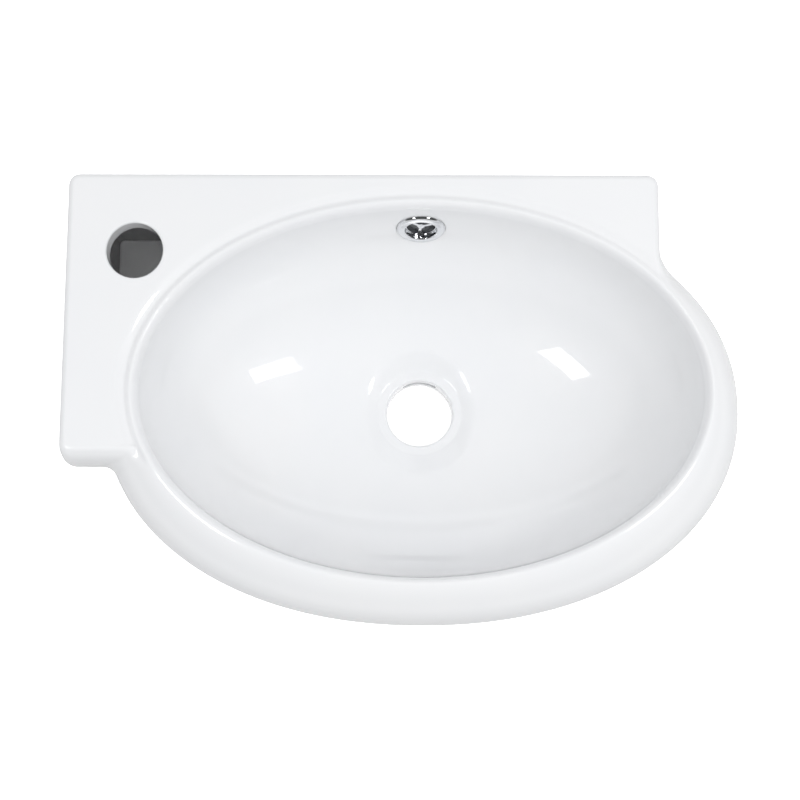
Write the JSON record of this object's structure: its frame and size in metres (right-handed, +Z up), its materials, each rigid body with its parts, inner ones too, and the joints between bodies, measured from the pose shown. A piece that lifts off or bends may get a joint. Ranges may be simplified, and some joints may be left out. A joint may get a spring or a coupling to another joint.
{
  "type": "wall-hung basin",
  "caption": "Small wall-hung ceramic basin with a square deck and tap hole on the left, a deep oval bowl in a rolled rim and a chrome overflow insert.",
  "frame": {"origin": "on the wall face, midway between the two fixing holes", "axes": "+X along the wall to the right as seen from the front, +Y into the wall, +Z up; the front of the basin looks along -Y"},
  "size_m": [0.42, 0.28, 0.13],
  "materials": {
    "vitreous_china": "glossy white glaze",
    "chrome": "bright chrome plate",
    "seal": "soft translucent grey seal",
    "bush": "white nylon"
  },
  "bodies": {
    "basin": {"basin_body": "vitreous_china", "left_fixing_bush": "bush", "right_fixing_bush": "bush"},
    "overflow_insert": {"overflow_ring": "chrome", "overflow_spider": "chrome", "overflow_seal": "seal"}
  },
  "joints": [
    {"name": "overflow_pull", "type": "slide", "parent": "basin", "child": "overflow_insert", "axis": [0, -0.9659, 0.2588], "range_m": [0, 0.03]}
  ]
}
